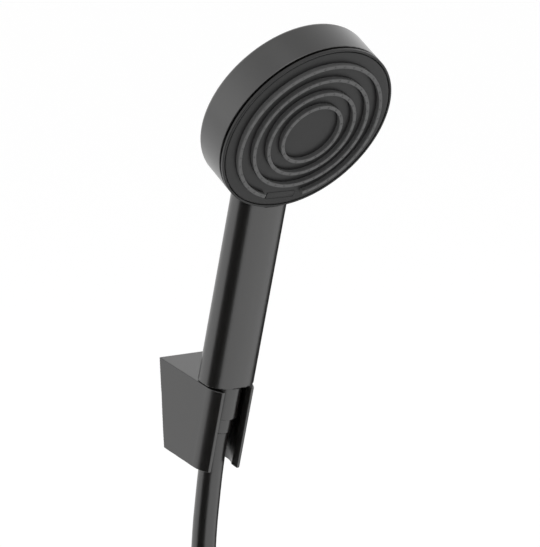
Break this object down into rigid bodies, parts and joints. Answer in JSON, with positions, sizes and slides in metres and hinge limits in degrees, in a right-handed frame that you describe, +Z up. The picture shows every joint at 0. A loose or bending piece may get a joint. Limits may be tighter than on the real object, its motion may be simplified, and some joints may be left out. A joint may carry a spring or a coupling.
{
  "type": "hand shower set",
  "caption": "Round-headed hand shower parked in a slotted wall holder, with a slim hose that leaves the holder's foot and hangs in a tied coil.",
  "frame": {"origin": "middle of the holder's flat back, on the wall", "axes": "+Z up along the wall, +Y into the wall, +X to the right for someone facing the wall"},
  "size_m": [0.169, 0.1456, 0.5412],
  "materials": {
    "matte_black": "satin black coating",
    "plate_grey": "satin black moulded plastic",
    "silicone": "dark grey silicone",
    "seal_rubber": "black rubber",
    "inner_plastic": "natural white plastic",
    "brass": "machined",
    "steel": "machined",
    "hose_black": "smooth satin hose jacket",
    "strap": "hook and loop strap"
  },
  "bodies": {
    "holder": {"holder_body": "matte_black", "cradle_pad_left": "seal_rubber", "cradle_pad_right": "seal_rubber", "wall_plate": "steel", "wall_screw_lower": "steel", "wall_screw_upper": "steel", "grub_screw": "steel"},
    "hose": {"hose_nipple_upper": "brass", "swivel_ring": "inner_plastic", "hose_washer_upper": "seal_rubber", "hose_collar_upper": "matte_black", "hose_lead": "hose_black", "hose_coil": "hose_black", "coil_tie_1": "strap", "coil_tie_2": "strap", "hose_tail": "hose_black", "hose_ferrule_lower": "matte_black", "hose_nipple_lower": "brass", "hose_washer_lower": "seal_rubber"},
    "handset": {"handset_housing": "matte_black", "spray_plate": "plate_grey", "nozzle_ring_1": "silicone", "nozzle_ring_2": "silicone", "nozzle_ring_3": "silicone", "nozzle_ring_4": "silicone", "blank_label": "plate_grey", "face_trim_ring": "plate_grey", "rim_seal": "seal_rubber", "water_chamber": "inner_plastic", "chamber_seal": "seal_rubber", "distributor_plate": "inner_plastic", "chamber_screw_1": "steel", "chamber_screw_2": "steel", "chamber_screw_3": "steel", "waterway_tube": "inner_plastic", "tube_collar_lower": "steel", "tube_collar_upper": "steel", "handle_end_cap": "matte_black", "inlet_connector": "brass", "inlet_strainer": "steel", "check_valve_cage": "inner_plastic", "check_valve_spring": "steel", "flow_limiter": "inner_plastic"},
    "upper_nut": {"hose_nut_upper": "matte_black"},
    "poppet": {"check_valve_poppet": "seal_rubber"},
    "lower_nut": {"hose_nut_lower": "matte_black"}
  },
  "joints": [
    {"name": "lift_out", "type": "slide", "parent": "holder", "child": "hose", "axis": [0, -0.314, 0.9494], "range_m": [0, 0.06]},
    {"name": "handset_swivel", "type": "hinge", "parent": "hose", "child": "handset", "pos_m": [0, -0.0376, 0.014], "axis": [0, -0.314, 0.9494], "continuous": true},
    {"name": "upper_nut_turn", "type": "hinge", "parent": "hose", "child": "upper_nut", "pos_m": [0, -0.0376, 0.014], "axis": [0, -0.314, 0.9494], "continuous": true},
    {"name": "check_valve_lift", "type": "slide", "parent": "handset", "child": "poppet", "axis": [0, -0.314, 0.9494], "range_m": [0, 0.0012], "stiffness_N_per_m": 60, "springref_m": -0.002, "deforming": ["check_valve_spring"]},
    {"name": "lower_nut_turn", "type": "hinge", "parent": "hose", "child": "lower_nut", "pos_m": [0.075, -0.0414, -0.31], "axis": [0, 0, 1], "continuous": true}
  ]
}
